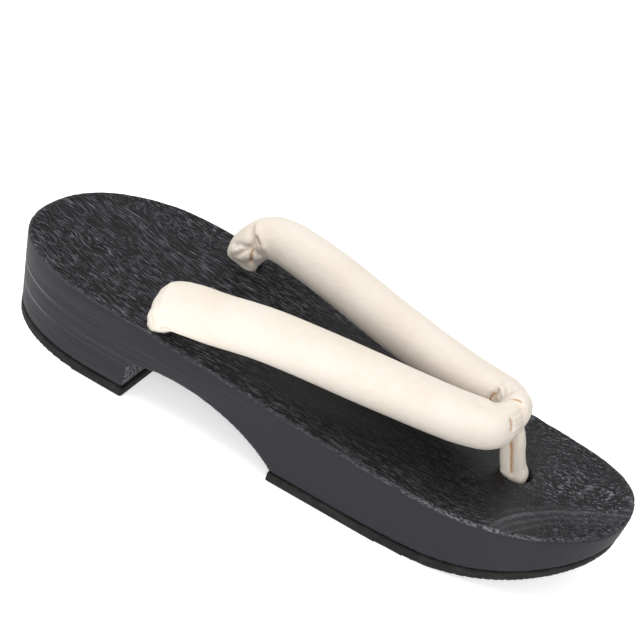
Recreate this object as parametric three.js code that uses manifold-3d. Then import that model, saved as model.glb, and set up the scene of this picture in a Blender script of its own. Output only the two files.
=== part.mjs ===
// A geta sandal: a one-piece wooden base with a heel block and a rockered forefoot, rubber treads under
// both, a padded fabric strap in a V, and a toe thong that wraps the strap's fold and goes through the wood.
// Millimetres. +X points to the toe, +Y to the wearer's left, +Z up; z = 0 is the floor, x = 0 is mid-length.
import * as THREE from "three";
import { mergeVertices } from "three/addons/utils/BufferGeometryUtils.js";
import Module from "manifold-3d";

const wasm = await Module();
wasm.setup();

// ---------------------------------------------------------------- driving dimensions
const LENGTH = 250;
const HALF_LENGTH = LENGTH / 2;
const HALF_WIDTH = 43.6;
const TOE_END = { reach: 89, power: 2.32 }; // superellipse that rounds the toe, and where it starts
const HEEL_END = { reach: 57.5, power: 2.23 };
const GAP = 0.3; // clearance kept between pieces that touch

// Places past the sandal on every side, where cutting shapes and blanks begin and end.
const PAST_END = HALF_LENGTH + 15;
const PAST_SIDE = 2 * HALF_WIDTH;
const PAST_TOP = 60;
const UNDER_FLOOR = -4;

// The footbed's rim above the floor: level round the heel, a fall to the ball, and a rise to the toe.
const RIM = { heel: 34.5, levelTo: -90, ball: 25, ballAt: 72, toe: 34, power: 1.9 };
const DISH_DEPTH = 2.4; // how far the middle of the footbed lies below its rim
const DISH_POWER = 2.6;
const DISH_RINGS = [0.94, 0.88, 0.8, 0.7, 0.58, 0.45, 0.3, 0.15, 0.04]; // shares of the way out to the rim
const EDGE_ROUND = 1.1; // round-over along the rim
const EDGE_STEPS = 3;
const HEEL_TAPER = 3; // the heel's back leans in this much from rim to floor
const TOE_TAPER = 1;
const SIDE_TAPER = 0.6;

const TREAD_THICK = 3.7;
const TREAD_PROUD = 0.6; // rubber stands out past the wood all round
const WOOD_BOTTOM = TREAD_THICK + GAP;
const HEEL_FRONT = -54.3;
const FORE_BACK = 9;
const ROCKER = { start: 66, rise: 22, power: 1.9 }; // the forefoot's underside lifts towards the toe

// The arch between the heel block and the forefoot, along its ceiling.
const ARCH = {
  shoulder: { x: HEEL_FRONT, z: 12.5 },
  corner: { x: HEEL_FRONT + 0.4, z: 16.4 },
  rear: { x: -47.5, z: 16.9 },
  crestRear: { x: -38, z: 19.9 },
  crestFront: { x: -22, z: 19 },
  slope: { x: -8, z: 13.8 },
  knee: { x: 3, z: 9.4 },
};

const REAR_HOLE = { x: -48.5, y: 31, radius: 4.2 };
const FRONT_HOLE = { x: 84, radius: 5.9 };

// The padded strap's right limb, from the fold at the front to its rear end. wide and tall are half sizes.
const STRAP = [
  { x: 74, y: 0, z: 46.4, wide: 4.6, tall: 7.2 },
  { x: 73, y: 4.6, z: 45.2, wide: 5.4, tall: 8 },
  { x: 69.2, y: 8.6, z: 43, wide: 7.2, tall: 8.9 },
  { x: 60.5, y: 11.3, z: 41.8, wide: 8.4, tall: 9.4 },
  { x: 46, y: 14.4, z: 41.6, wide: 9, tall: 9.5 },
  { x: 18, y: 20.9, z: 43.8, wide: 9.3, tall: 9.2 },
  { x: -10, y: 28, z: 46.2, wide: 9.6, tall: 9.2 },
  { x: -32, y: 33.2, z: 45.9, wide: 9.8, tall: 8.6 },
  { x: -43, y: 35.4, z: 44.9, wide: 9.9, tall: 8 },
  { x: -49.5, y: 36.2, z: 43.2, wide: 9, tall: 7 },
  { x: -53.4, y: 36.6, z: 41.6, wide: 6.4, tall: 5 },
  { x: -55.2, y: 36.8, z: 40.8, wide: 2.4, tall: 2 },
];
const STRAP_STEPS = 88;
const STRAP_SIDES = 24;

// The strap's rear end, gathered and turned down through the hole. A row for each level.
const STRAP_TAIL = [
  { x: -47.5, y: 34, z: 44, radius: 7.4 },
  { x: -49.6, y: 33.4, z: 39, radius: 8.2 },
  { x: -50, y: 32.6, z: 35.8, radius: 7.4 },
  { x: -49.2, y: 31.6, z: 33.4, radius: 5.2 },
  { x: -48.5, y: 31, z: 31.6, radius: 3.9 },
  { x: -48.5, y: 31, z: 17.8, radius: 3.9 },
];

// The toe thong: a wrap round the strap's fold, and a stem that ends inside the front hole.
const WRAP = { thick: 1.9, halfWidth: 4.8, edge: 0.9 };
const THONG_STEM = [
  { x: 75.2, z: 42, wide: 4.6, deep: 4.2 },
  { x: 77.6, z: 37, wide: 4.8, deep: 4.8 },
  { x: 80.6, z: 30.5, wide: 4.9, deep: 5 },
  { x: 83.2, z: 25, wide: 4.9, deep: 5 },
  { x: 84, z: 21.5, wide: 5.1, deep: 5.1 },
  { x: 84, z: 12, wide: 5.1, deep: 5.1 },
];

// How finely curves are cut into straight stretches.
const END_STEPS = 22; // each quarter of the plan outline
const SIDE_STEPS = 14;
const CURVE_STEPS = 14;
const ROCKER_STEPS = 18;
const HOLE_SIDES = 28;

const WOOD = { color: 0x26272b, roughness: 0.62, metalness: 0 };
const RUBBER = { color: 0x1d1c1c, roughness: 0.85, metalness: 0 };
const FABRIC = { color: 0xf1e6d6, roughness: 0.7, metalness: 0 };

// ---------------------------------------------------------------- helpers
/** Height of the footbed's rim at x. The fall is halfway between a straight one and a smooth one. */
function rimHeight(x) {
  const at = THREE.MathUtils.clamp(x, -HALF_LENGTH, HALF_LENGTH);
  if (at > RIM.ballAt) {
    const share = (at - RIM.ballAt) / (HALF_LENGTH - RIM.ballAt);
    return RIM.ball + (RIM.toe - RIM.ball) * share ** RIM.power;
  }
  const share = Math.min((RIM.ballAt - at) / (RIM.ballAt - RIM.levelTo), 1);
  const smooth = THREE.MathUtils.smoothstep(share, 0, 1);
  return RIM.ball + ((RIM.heel - RIM.ball) * (share + smooth)) / 2;
}

/** A ring of points once round, each given by the cosine and sine of its angle. */
function ringOf(pointAt) {
  return Array.from({ length: STRAP_SIDES }, (_, k) => {
    const angle = (2 * Math.PI * k) / STRAP_SIDES;
    return pointAt(Math.cos(angle), Math.sin(angle));
  });
}

/** A closed geometry through rings of equal length, each a list of Vector3, with a fan over each end. */
function loft(rings) {
  const count = rings[0].length;
  const points = rings.flat();
  const centre = (ring) => ring.reduce((sum, p) => sum.add(p), new THREE.Vector3()).divideScalar(count);
  const first = points.push(centre(rings[0])) - 1;
  const last = points.push(centre(rings[rings.length - 1])) - 1;
  const index = [];
  for (let i = 0; i < count; i++) {
    const j = (i + 1) % count;
    for (let r = 0; r + 1 < rings.length; r++) {
      const [a, b] = [r * count + i, r * count + j];
      index.push(a, b, b + count, a, b + count, a + count);
    }
    const end = (rings.length - 1) * count;
    index.push(first, j, i, last, end + i, end + j);
  }
  return new THREE.BufferGeometry().setFromPoints(points).setIndex(index);
}

/** A geometry as a manifold-3d solid, turned right way out if its rings ran the other way. */
function solidOf(geometry) {
  const bare = geometry.clone();
  bare.deleteAttribute("normal");
  bare.deleteAttribute("uv");
  const merged = mergeVertices(bare, 1e-4);
  const triVerts = new Uint32Array(merged.index.array);
  const build = () =>
    new wasm.Manifold(
      new wasm.Mesh({ numProp: 3, vertProperties: merged.attributes.position.array, triVerts }),
    );
  const made = build();
  if (made.volume() > 0) return made;
  for (let i = 0; i < triVerts.length; i += 3) {
    [triVerts[i + 1], triVerts[i + 2]] = [triVerts[i + 2], triVerts[i + 1]];
  }
  return build();
}

/** A manifold-3d solid as a geometry with flat-shaded normals. */
function geometryOf(solid) {
  const mesh = solid.getMesh();
  const positions = new Float32Array(mesh.numVert * 3);
  for (let i = 0; i < mesh.numVert; i++) {
    positions.set(mesh.vertProperties.subarray(i * mesh.numProp, i * mesh.numProp + 3), i * 3);
  }
  const geometry = new THREE.BufferGeometry()
    .setAttribute("position", new THREE.BufferAttribute(positions, 3))
    .setIndex(new THREE.BufferAttribute(mesh.triVerts, 1));
  geometry.computeVertexNormals();
  return geometry;
}

/** A named mesh of a solid in one finish. */
function piece(name, solid, finish) {
  const mesh = new THREE.Mesh(geometryOf(solid), new THREE.MeshStandardMaterial(finish));
  mesh.name = name;
  return mesh;
}

/** A side-view shape in x and z, extruded right across the sandal. */
function acrossWidth(shape) {
  const settings = { depth: 2 * PAST_SIDE, bevelEnabled: false, curveSegments: CURVE_STEPS };
  const geometry = new THREE.ExtrudeGeometry(shape, settings);
  geometry.rotateX(Math.PI / 2).translate(0, PAST_SIDE, 0);
  return solidOf(geometry);
}

/** An upright round bar that passes the whole sandal. */
function uprightBar(x, y, radius) {
  const geometry = new THREE.CylinderGeometry(radius, radius, PAST_TOP - UNDER_FLOOR, HOLE_SIDES);
  geometry.rotateX(Math.PI / 2).translate(x, y, (PAST_TOP + UNDER_FLOOR) / 2);
  return solidOf(geometry);
}

// ---------------------------------------------------------------- footbed outline and heights
/** The plan outline, counter-clockwise from the toe tip, with round ends and nearly straight sides. */
function outline() {
  const quarter = [];
  const round = (end, sign, t) => {
    const reach = end.reach * Math.cos(t) ** (2 / end.power);
    const y = HALF_WIDTH * Math.sin(t) ** (2 / end.power);
    return new THREE.Vector2(sign * (HALF_LENGTH - end.reach + reach), y);
  };
  const right = Math.PI / 2;
  for (let i = 0; i <= END_STEPS; i++) quarter.push(round(TOE_END, 1, (right * i) / END_STEPS));
  const [front, back] = [HALF_LENGTH - TOE_END.reach, HEEL_END.reach - HALF_LENGTH];
  for (let i = 1; i < SIDE_STEPS; i++) {
    quarter.push(new THREE.Vector2(THREE.MathUtils.lerp(front, back, i / SIDE_STEPS), HALF_WIDTH));
  }
  for (let i = END_STEPS; i >= 0; i--) quarter.push(round(HEEL_END, -1, (right * i) / END_STEPS));
  const mirrored = quarter.slice(1, -1).reverse();
  return [...quarter, ...mirrored.map((p) => new THREE.Vector2(p.x, -p.y))];
}

const rockerHeight = (x) => {
  const share = Math.max(0, (x - ROCKER.start) / (HALF_LENGTH - ROCKER.start));
  return ROCKER.rise * share ** ROCKER.power;
};

/** Height of the dished footbed inside the rim, where share runs from 0 in the middle to 1 at the rim. */
const footbedHeight = (x, share) => rimHeight(x) - DISH_DEPTH * (1 - share ** DISH_POWER);

/** The outline at floor level, where the walls have tapered in, moved out by proud. */
function floorOutline(proud = 0) {
  return outline().map((p) => {
    const taper = p.x < 0 ? HEEL_TAPER : TOE_TAPER;
    const inward = 1 - (taper - proud) / HALF_LENGTH;
    return new THREE.Vector2(p.x * inward, p.y * (1 - (SIDE_TAPER - proud) / HALF_WIDTH));
  });
}

// ---------------------------------------------------------------- wooden base
/** The block inside the plan outline, dished on top, its tapered walls running down past the floor. */
function dishedBlock() {
  const plan = outline();
  const wallTop = plan.map((p) => new THREE.Vector3(p.x, p.y, rimHeight(p.x) - EDGE_ROUND));
  const wallFoot = floorOutline().map((p) => new THREE.Vector3(p.x, p.y, UNDER_FLOOR));
  const rings = [wallFoot, wallTop];
  for (let i = 1; i <= EDGE_STEPS; i++) {
    const angle = (Math.PI / 2) * (i / EDGE_STEPS);
    const inward = 1 - (EDGE_ROUND * (1 - Math.cos(angle))) / HALF_WIDTH;
    const drop = EDGE_ROUND * (1 - Math.sin(angle));
    rings.push(
      plan.map((p) => new THREE.Vector3(p.x * inward, p.y * inward, rimHeight(p.x * inward) - drop)),
    );
  }
  for (const share of DISH_RINGS) {
    rings.push(
      plan.map((p) => new THREE.Vector3(p.x * share, p.y * share, footbedHeight(p.x * share, share))),
    );
  }
  return solidOf(loft(rings));
}

/** Side view of everything above the wood's underside: heel block, arch, flat forefoot and rocker. */
function undersideShape() {
  const shape = new THREE.Shape();
  shape.moveTo(-PAST_END, WOOD_BOTTOM);
  shape.lineTo(HEEL_FRONT, WOOD_BOTTOM);
  shape.lineTo(ARCH.shoulder.x, ARCH.shoulder.z);
  shape.quadraticCurveTo(ARCH.corner.x, ARCH.corner.z, ARCH.rear.x, ARCH.rear.z);
  shape.bezierCurveTo(
    ARCH.crestRear.x, ARCH.crestRear.z, ARCH.crestFront.x, ARCH.crestFront.z, ARCH.slope.x, ARCH.slope.z,
  );
  shape.quadraticCurveTo(ARCH.knee.x, ARCH.knee.z, FORE_BACK, WOOD_BOTTOM);
  rockerPoints().forEach((p) => shape.lineTo(p.x, p.y + WOOD_BOTTOM));
  shape.lineTo(PAST_END, PAST_TOP);
  shape.lineTo(-PAST_END, PAST_TOP);
  shape.closePath();
  return shape;
}

/** The rocker's line from where it leaves the floor to past the toe, height above the flat forefoot as y. */
function rockerPoints() {
  return Array.from({ length: ROCKER_STEPS + 1 }, (_, i) => {
    const x = THREE.MathUtils.lerp(ROCKER.start, PAST_END, i / ROCKER_STEPS);
    return new THREE.Vector2(x, rockerHeight(x));
  });
}

/** The whole base with its three strap holes. */
function woodenBase() {
  const holes = [
    uprightBar(FRONT_HOLE.x, 0, FRONT_HOLE.radius),
    ...[-1, 1].map((side) => uprightBar(REAR_HOLE.x, side * REAR_HOLE.y, REAR_HOLE.radius)),
  ];
  const block = dishedBlock().intersect(acrossWidth(undersideShape()));
  return holes.reduce((wood, hole) => wood.subtract(hole), block);
}

// ---------------------------------------------------------------- rubber treads
/** The tapered plan at floor level, a little proud of the wood, as an upright block. */
function treadBlank() {
  const plan = floorOutline(TREAD_PROUD);
  const ring = (z) => plan.map((p) => new THREE.Vector3(p.x, p.y, z));
  return solidOf(loft([ring(UNDER_FLOOR), ring(PAST_TOP)]));
}

/** The flat tread under the heel block. */
function heelTread() {
  const front = HEEL_FRONT + TREAD_PROUD;
  const shape = new THREE.Shape();
  shape.moveTo(-PAST_END, 0);
  shape.lineTo(front, 0);
  shape.lineTo(front, TREAD_THICK);
  shape.lineTo(-PAST_END, TREAD_THICK);
  shape.closePath();
  return treadBlank().intersect(acrossWidth(shape));
}

/** The tread under the forefoot, which follows the rocker up to the toe. */
function forefootTread() {
  const back = FORE_BACK - TREAD_PROUD;
  const rocker = rockerPoints();
  const shape = new THREE.Shape();
  shape.moveTo(back, 0);
  rocker.forEach((p) => shape.lineTo(p.x, p.y));
  [...rocker].reverse().forEach((p) => shape.lineTo(p.x, p.y + TREAD_THICK));
  shape.lineTo(back, TREAD_THICK);
  shape.closePath();
  return treadBlank().intersect(acrossWidth(shape));
}

// ---------------------------------------------------------------- padded strap and toe thong
/** The strap's two limbs, joined through the fold and grown by extra all round. */
function strapForm(extra = 0) {
  const right = STRAP.map((row) => ({ ...row, y: -row.y }));
  const rows = [...right.reverse(), ...STRAP.slice(1)];
  const path = new THREE.CatmullRomCurve3(rows.map((row) => new THREE.Vector3(row.x, row.y, row.z)));
  const sizes = new THREE.CatmullRomCurve3(rows.map((row) => new THREE.Vector3(row.wide, row.tall, 0)));
  const up = new THREE.Vector3(0, 0, 1);
  const rings = [];
  for (let i = 0; i <= STRAP_STEPS; i++) {
    const t = i / STRAP_STEPS;
    const centre = path.getPoint(t);
    const { x: wide, y: tall } = sizes.getPoint(t);
    const side = path.getTangent(t).cross(up).normalize();
    const across = side.multiplyScalar(wide + extra);
    const upward = up.clone().multiplyScalar(tall + extra);
    const pointAt = (cos, sin) => centre.clone().addScaledVector(across, cos).addScaledVector(upward, sin);
    rings.push(ringOf(pointAt));
  }
  return solidOf(loft(rings));
}

/** The gathered end of the strap on one side, going down into its hole. */
function strapTail(side) {
  const rings = STRAP_TAIL.map(({ x, y, z, radius }) =>
    ringOf((cos, sin) => new THREE.Vector3(x + radius * cos, side * y + radius * sin, z)),
  );
  return solidOf(loft(rings));
}

const paddedStrap = () => [-1, 1].reduce((strap, side) => strap.add(strapTail(side)), strapForm());

/** An oval band round the strap's fold, its rims rounded by narrowing in steps. */
function foldWrap() {
  const fold = STRAP[0];
  const section = (y, inset) => {
    const reach = GAP + WRAP.thick - inset;
    const [wide, tall] = [fold.wide + reach, fold.tall + reach];
    return ringOf((cos, sin) => new THREE.Vector3(fold.x + wide * cos, y, fold.z + tall * sin));
  };
  const inner = WRAP.halfWidth - WRAP.edge;
  return solidOf(
    loft([
      section(-WRAP.halfWidth, WRAP.edge),
      section(-inner, 0),
      section(inner, 0),
      section(WRAP.halfWidth, WRAP.edge),
    ]),
  );
}

/** The wrap and the stem below it, cut clear of the strap. */
function toeThong() {
  const rings = THONG_STEM.map(({ x, z, wide, deep }) =>
    ringOf((cos, sin) => new THREE.Vector3(x + deep * cos, wide * sin, z)),
  );
  return foldWrap().add(solidOf(loft(rings))).subtract(strapForm(GAP));
}

// ---------------------------------------------------------------- the sandal
const geta = new THREE.Group();
geta.add(piece("wooden_base", woodenBase(), WOOD));
geta.add(piece("heel_tread", heelTread(), RUBBER));
geta.add(piece("forefoot_tread", forefootTread(), RUBBER));
geta.add(piece("padded_strap", paddedStrap(), FABRIC));
geta.add(piece("toe_thong", toeThong(), FABRIC));

export default geta;
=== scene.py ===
"""Looks of a wooden geta sandal: charred base, rubber treads, padded cotton strap and toe thong.

Sizes in the classes below are millimetres in the sandal's own frame: +X to the toe, +Y to the wearer's left,
+Z up from the floor, x = 0 at mid-length. MM turns them into Blender's metres.
"""

import logging
import math
from dataclasses import dataclass, field, replace
from enum import Enum
from typing import Callable, Iterable, Sequence

import bmesh
import bpy
import numpy as np
from mathutils import Matrix, Quaternion, Vector, kdtree, noise


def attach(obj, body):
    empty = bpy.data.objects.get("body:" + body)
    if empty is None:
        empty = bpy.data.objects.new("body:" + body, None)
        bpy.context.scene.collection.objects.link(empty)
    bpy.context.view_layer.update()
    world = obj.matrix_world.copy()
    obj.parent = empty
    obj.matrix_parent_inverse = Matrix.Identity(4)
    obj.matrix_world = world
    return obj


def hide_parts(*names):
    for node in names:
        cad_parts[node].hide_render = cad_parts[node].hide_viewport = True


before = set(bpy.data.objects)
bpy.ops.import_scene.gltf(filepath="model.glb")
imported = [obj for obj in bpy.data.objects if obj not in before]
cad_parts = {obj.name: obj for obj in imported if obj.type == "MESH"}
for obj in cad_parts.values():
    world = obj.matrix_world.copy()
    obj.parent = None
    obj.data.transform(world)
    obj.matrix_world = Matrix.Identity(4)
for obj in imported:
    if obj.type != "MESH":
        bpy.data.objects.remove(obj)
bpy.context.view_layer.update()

MM = 0.001
BODY = "root"
LOG = logging.getLogger("geta")


class Thread(Enum):
    """The two rows of threads in a plain weave, by the direction that each row is counted in."""

    WARP = "X"
    WEFT = "Y"


# ------------------------------------------------------------------------------------------ shared helpers
def smoothstep(low: float, high: float, value: np.ndarray) -> np.ndarray:
    """A soft step from 0 at low to 1 at high, or from 1 to 0 where low is above high."""
    share = np.clip((value - low) / (high - low), 0, 1)
    return share * share * (3 - 2 * share)


def grain_noise(points: np.ndarray, lengths: Sequence[float], seed: float = 0.0) -> np.ndarray:
    """Smooth noise over points.

    Args:
        points: an array of positions in millimetres, one row each.
        lengths: the size of a lump along x, y and z, in millimetres.
        seed: a shift that gives another pattern.

    Returns:
        One value per point, between about -1 and 1.
    """
    scaled = points / np.asarray(lengths) + seed
    return np.array([noise.noise(Vector(row)) for row in scaled])


def read_points(mesh: bpy.types.Mesh) -> tuple[np.ndarray, np.ndarray]:
    """The mesh's vertex positions in millimetres and its vertex normals, one row each."""
    co = np.empty(len(mesh.vertices) * 3)
    normals = np.empty(len(mesh.vertices) * 3)
    mesh.vertices.foreach_get("co", co)
    mesh.vertices.foreach_get("normal", normals)
    return co.reshape(-1, 3) / MM, normals.reshape(-1, 3)


def write_points(mesh: bpy.types.Mesh, points: np.ndarray) -> None:
    """Moves the mesh's vertices to points, in millimetres."""
    mesh.vertices.foreach_set("co", (points * MM).ravel())
    mesh.update()


def write_values(mesh: bpy.types.Mesh, name: str, values: np.ndarray) -> None:
    """Stores one number a vertex, for a material to read by name."""
    attribute = mesh.attributes.new(name, "FLOAT", "POINT")
    attribute.data.foreach_set("value", values.astype(np.float32))


def write_vectors(mesh: bpy.types.Mesh, name: str, vectors: np.ndarray) -> None:
    """Stores one vector a vertex, for a material to read by name."""
    attribute = mesh.attributes.new(name, "FLOAT_VECTOR", "POINT")
    attribute.data.foreach_set("vector", vectors.astype(np.float32).ravel())


def object_of(name: str, mesh: bpy.types.Mesh) -> bpy.types.Object:
    """A new object in the scene that holds mesh, at the origin."""
    made = bpy.data.objects.new(name, mesh)
    bpy.context.scene.collection.objects.link(made)
    return made


def object_from(form: bmesh.types.BMesh, name: str) -> bpy.types.Object:
    """A new object with form as its mesh. The form is used up."""
    mesh = bpy.data.meshes.new(name)
    form.to_mesh(mesh)
    form.free()
    return object_of(name, mesh)


def merged_copy(node: str, name: str) -> bpy.types.Object:
    """A new object with a copy of a CAD node's mesh, its loose triangles joined up."""
    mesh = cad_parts[node].data.copy()
    made = object_of(name, mesh)
    mesh.materials.clear()
    form = bmesh.new()
    form.from_mesh(mesh)
    bmesh.ops.remove_doubles(form, verts=form.verts, dist=0.002 * MM)
    form.to_mesh(mesh)
    form.free()
    return made


def settle(piece: bpy.types.Object) -> None:
    """Applies every modifier on piece to its mesh."""
    graph = bpy.context.evaluated_depsgraph_get()
    mesh = bpy.data.meshes.new_from_object(piece.evaluated_get(graph))
    mesh.name = piece.name
    piece.modifiers.clear()
    piece.data = mesh


def remesh(piece: bpy.types.Object, voxel: float) -> None:
    """Rebuilds piece as an even net of small squares, voxel millimetres wide, as one closed skin."""
    modifier = piece.modifiers.new("Even net", "REMESH")
    modifier.mode = "VOXEL"
    modifier.voxel_size = voxel * MM
    settle(piece)


def even_skin(node: str, name: str, voxel: float) -> bpy.types.Object:
    """A CAD node's form as an even net, voxel millimetres wide, laid on the node's true surface."""
    piece = merged_copy(node, name)
    form = merged_copy(node, node + "_form")
    remesh(piece, voxel)
    fit = piece.modifiers.new("True form", "SHRINKWRAP")
    fit.target = form
    settle(piece)
    bpy.data.objects.remove(form)
    return piece


def subdivide(piece: bpy.types.Object, levels: int) -> None:
    """Smooths piece by Subdivision Surface, applied."""
    modifier = piece.modifiers.new("Smooth", "SUBSURF")
    modifier.levels = modifier.render_levels = levels
    settle(piece)


def keep(piece: bpy.types.Object, finish: bpy.types.Material, slot: str, *nodes: str) -> None:
    """Gives a finished piece its material and body, and lets it stand for CAD nodes.

    Args:
        piece: the finished object.
        finish: its material.
        slot: not used.
        nodes: the CAD nodes that it replaces.
    """
    piece.data.materials.clear()
    piece.data.materials.append(finish)
    piece.data.polygons.foreach_set("use_smooth", [True] * len(piece.data.polygons))
    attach(piece, BODY)
    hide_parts(*nodes)
    LOG.info("%s: %d faces", piece.name, len(piece.data.polygons))


# ------------------------------------------------------------------------------------------ node materials
class Shader:
    """A node material, built one node at a time."""

    def __init__(self, name: str) -> None:
        """Starts a material with a Principled surface."""
        self.material = bpy.data.materials.new(name)
        self.material.use_nodes = True
        self.tree = self.material.node_tree
        self.surface = self.tree.nodes["Principled BSDF"]

    def node(self, kind: str, **settings: object) -> bpy.types.Node:
        """Adds a node of one kind and sets its properties."""
        made = self.tree.nodes.new(kind)
        for key, value in settings.items():
            setattr(made, key, value)
        return made

    def feed(self, value: object, socket: bpy.types.NodeSocket) -> None:
        """Links a socket, or sets a plain value, into socket."""
        if isinstance(value, bpy.types.NodeSocket):
            self.tree.links.new(value, socket)
        else:
            socket.default_value = value

    def place(self, scale: Sequence[float], turn: Sequence[float] = (0, 0, 0)) -> bpy.types.NodeSocket:
        """Object coordinates in millimetres, stretched by scale and turned by turn in radians."""
        coordinates = self.node("ShaderNodeTexCoord").outputs["Object"]
        mapping = self.node("ShaderNodeMapping", vector_type="POINT")
        self.feed(coordinates, mapping.inputs["Vector"])
        self.feed(turn, mapping.inputs["Rotation"])
        self.feed([s / MM for s in scale], mapping.inputs["Scale"])
        return mapping.outputs["Vector"]

    def value(self, name: str) -> bpy.types.NodeSocket:
        """A number stored on the mesh under name."""
        return self.node("ShaderNodeAttribute", attribute_name=name).outputs["Fac"]

    def vector(self, name: str) -> bpy.types.NodeSocket:
        """A vector stored on the mesh under name."""
        return self.node("ShaderNodeAttribute", attribute_name=name).outputs["Vector"]

    def noise(
        self, where: bpy.types.NodeSocket, detail: float = 2, rough: float = 0.5, twist: float = 0
    ) -> bpy.types.NodeSocket:
        """Fractal noise of scale 1 at where, from 0 to 1."""
        made = self.node("ShaderNodeTexNoise")
        self.feed(where, made.inputs["Vector"])
        for key, value in (("Scale", 1), ("Detail", detail), ("Roughness", rough), ("Distortion", twist)):
            made.inputs[key].default_value = value
        return made.outputs["Fac"]

    def math(self, operation: str, a: object, b: object = 0.0) -> bpy.types.NodeSocket:
        """One arithmetic operation on a and b."""
        made = self.node("ShaderNodeMath", operation=operation)
        self.feed(a, made.inputs[0])
        self.feed(b, made.inputs[1])
        return made.outputs[0]

    def step(self, value: object, low: float, high: float, top: float = 1.0) -> bpy.types.NodeSocket:
        """A soft step of value from 0 at low to top at high."""
        made = self.node("ShaderNodeMapRange", interpolation_type="SMOOTHSTEP")
        self.feed(value, made.inputs["Value"])
        for key, number in (("From Min", low), ("From Max", high), ("To Min", 0), ("To Max", top)):
            made.inputs[key].default_value = number
        return made.outputs["Result"]

    def spread(self, value: object, low: float, high: float) -> bpy.types.NodeSocket:
        """Turns a share from 0 to 1 into a number from low to high."""
        made = self.node("ShaderNodeMapRange")
        self.feed(value, made.inputs["Value"])
        made.inputs["To Min"].default_value = low
        made.inputs["To Max"].default_value = high
        return made.outputs["Result"]

    def blend(self, share: object, a: object, b: object) -> bpy.types.NodeSocket:
        """Colour a turning into colour b as share goes from 0 to 1."""
        made = self.node("ShaderNodeMix", data_type="RGBA")
        self.feed(share, made.inputs[0])
        self.feed(a, made.inputs[6])
        self.feed(b, made.inputs[7])
        return made.outputs[2]

    def emboss(self, height: object, depth: float, under: object = None) -> bpy.types.NodeSocket:
        """Bump of height, depth millimetres deep, on top of another bump's normal."""
        made = self.node("ShaderNodeBump")
        made.inputs["Distance"].default_value = depth * MM
        self.feed(height, made.inputs["Height"])
        if under is not None:
            self.feed(under, made.inputs["Normal"])
        return made.outputs["Normal"]

    def finish(self, colour: object, roughness: object, normal: object, **fixed: float) -> bpy.types.Material:
        """Wires the surface and sets its plain sockets.

        Args:
            colour: base colour.
            roughness: roughness.
            normal: the bumped normal.
            fixed: plain values for other sockets, spaces in their names written as underscores.

        Returns:
            The material.
        """
        self.feed(colour, self.surface.inputs["Base Color"])
        self.feed(roughness, self.surface.inputs["Roughness"])
        self.feed(normal, self.surface.inputs["Normal"])
        for key, value in fixed.items():
            self.surface.inputs[key.replace("_", " ")].default_value = value
        return self.material


def grey(level: float, tint: float = 0.0) -> tuple[float, float, float, float]:
    """A grey of linear level, cooler with a positive tint and warmer with a negative one."""
    return (level, level * (1 - tint / 5), level * (1 + tint), 1.0)


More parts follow.
